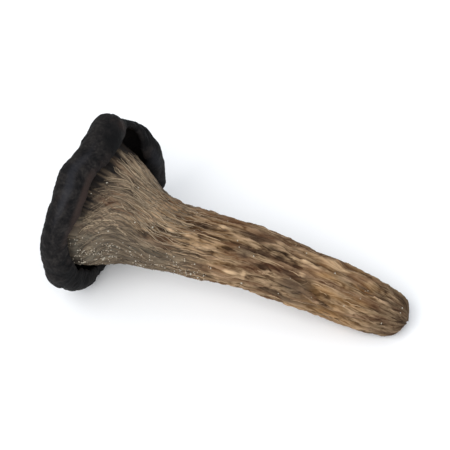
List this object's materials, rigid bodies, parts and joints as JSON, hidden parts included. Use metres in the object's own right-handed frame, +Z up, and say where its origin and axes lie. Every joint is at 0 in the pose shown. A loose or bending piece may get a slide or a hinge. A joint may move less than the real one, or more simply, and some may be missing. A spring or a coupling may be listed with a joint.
{
  "type": "black trumpet mushroom",
  "caption": "Trumpet-shaped mushroom lying on its side: a hollow, wrinkled stem widens to a funnel whose brim curls right back into a scroll.",
  "frame": {"origin": "bottom centre of the bounding box, on the surface that the mushroom lies on", "axes": "+X along the mushroom from its mouth to its foot, +Z up as it lies, +Y to the side away from the picture's viewer"},
  "size_m": [0.0876, 0.0428, 0.044],
  "materials": {
    "mushroom_skin": "matte, fibrous and wrinkled lengthwise; black and velvety on the brim and inside"
  },
  "bodies": {
    "root": {"fruit_body": "mushroom_skin"}
  },
  "joints": []
}
